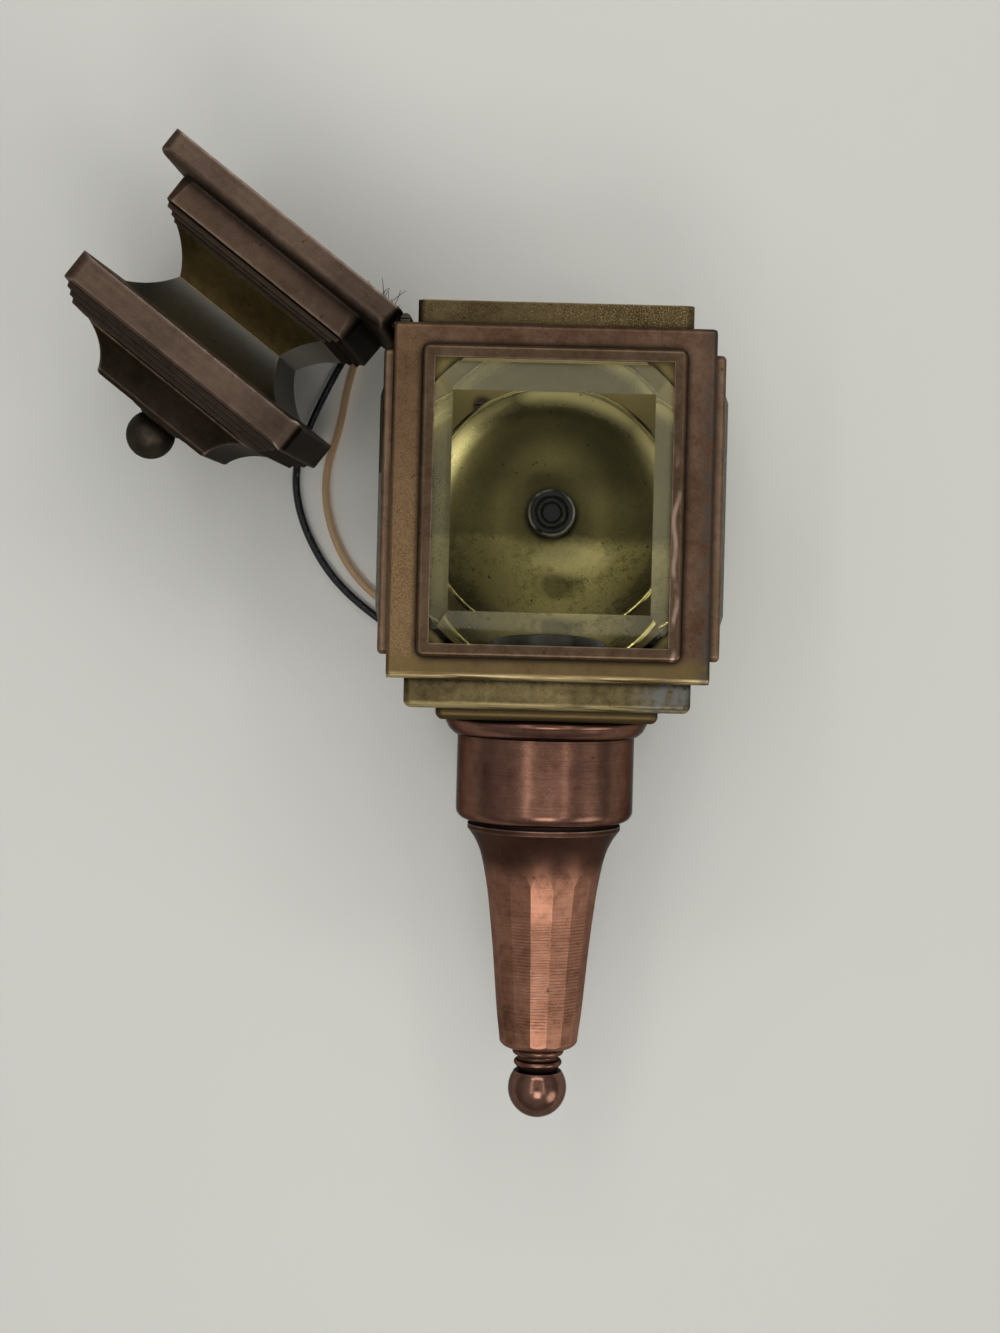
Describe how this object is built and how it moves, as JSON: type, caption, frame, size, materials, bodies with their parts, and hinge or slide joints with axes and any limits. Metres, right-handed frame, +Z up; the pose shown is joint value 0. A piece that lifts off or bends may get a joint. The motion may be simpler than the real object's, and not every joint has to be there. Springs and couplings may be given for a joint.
{
  "type": "carriage lantern",
  "caption": "Square wall lantern with bevelled glass, a hinged tiered roof, a dish reflector behind the lampholder and a faceted tail with a ball; its wire leads hang free at the back.",
  "frame": {"origin": "middle of the wall strap, on the wall", "axes": "+Z up along the lantern, +Y into the wall, +X to the right of someone facing the lantern's front"},
  "size_m": [0.173, 0.0917, 0.2615],
  "materials": {
    "aged_brass": "aged",
    "rose_copper": "worn satin",
    "roof_copper": "dark patina",
    "dark_bronze": "dull",
    "bevelled_glass": "clear",
    "polished_brass": "polished",
    "black_phenolic": "moulded",
    "bright_brass": "bright",
    "plated_steel": "plated",
    "black_rubber": "matt",
    "black_sheath": "satin",
    "tan_sheath": "satin",
    "tinned_copper": "dull"
  },
  "bodies": {
    "lantern": {"back_wall": "aged_brass", "base_step": "aged_brass", "base_tray": "aged_brass", "black_lead": "black_sheath", "black_strands": "tinned_copper", "centre_contact": "bright_brass", "collar": "aged_brass", "floor_plate": "aged_brass", "front_bezel": "aged_brass", "front_glass": "bevelled_glass", "front_plate": "aged_brass", "front_tabs": "aged_brass", "ground_nut": "plated_steel", "ground_screw": "plated_steel", "hinge_leaf_fixed": "aged_brass", "hinge_pin": "plated_steel", "holder_body": "black_phenolic", "inner_lead_black": "black_sheath", "inner_lead_tan": "tan_sheath", "left_bezel": "aged_brass", "left_glass": "bevelled_glass", "left_tabs": "aged_brass", "left_wall": "aged_brass", "lock_nut": "plated_steel", "neck": "rose_copper", "reflector": "polished_brass", "right_bezel": "aged_brass", "right_glass": "bevelled_glass", "right_tabs": "aged_brass", "right_wall": "aged_brass", "screw_shell": "bright_brass", "socket_cup": "rose_copper", "spacer": "plated_steel", "stud": "plated_steel", "tail": "rose_copper", "tail_ball": "rose_copper", "tan_lead": "tan_sheath", "tan_strands": "tinned_copper", "terminal_plates": "bright_brass", "terminal_screws": "bright_brass", "tie_nut": "plated_steel", "tie_rod": "plated_steel", "top_plate": "aged_brass", "wall_strap": "plated_steel", "wire_bushing": "black_rubber"},
    "roof": {"hinge_leaf_roof": "roof_copper", "roof_rim": "roof_copper", "roof_block": "roof_copper", "roof_neck": "roof_copper", "roof_hood": "roof_copper", "roof_cap": "roof_copper", "finial_washer": "dark_bronze", "finial_ball": "dark_bronze", "finial_stud": "plated_steel", "finial_nut": "plated_steel"},
    "knob": {"knob": "black_phenolic"}
  },
  "joints": [
    {"name": "roof_hinge", "type": "hinge", "parent": "lantern", "child": "roof", "pos_m": [-0.0391, -0.046, 0.04735], "axis": [0, 1, 0], "range_deg": [0, 142.5]},
    {"name": "knob_turn", "type": "hinge", "parent": "lantern", "child": "knob", "pos_m": [0, -0.022, 0], "axis": [0, 1, 0], "continuous": true}
  ]
}
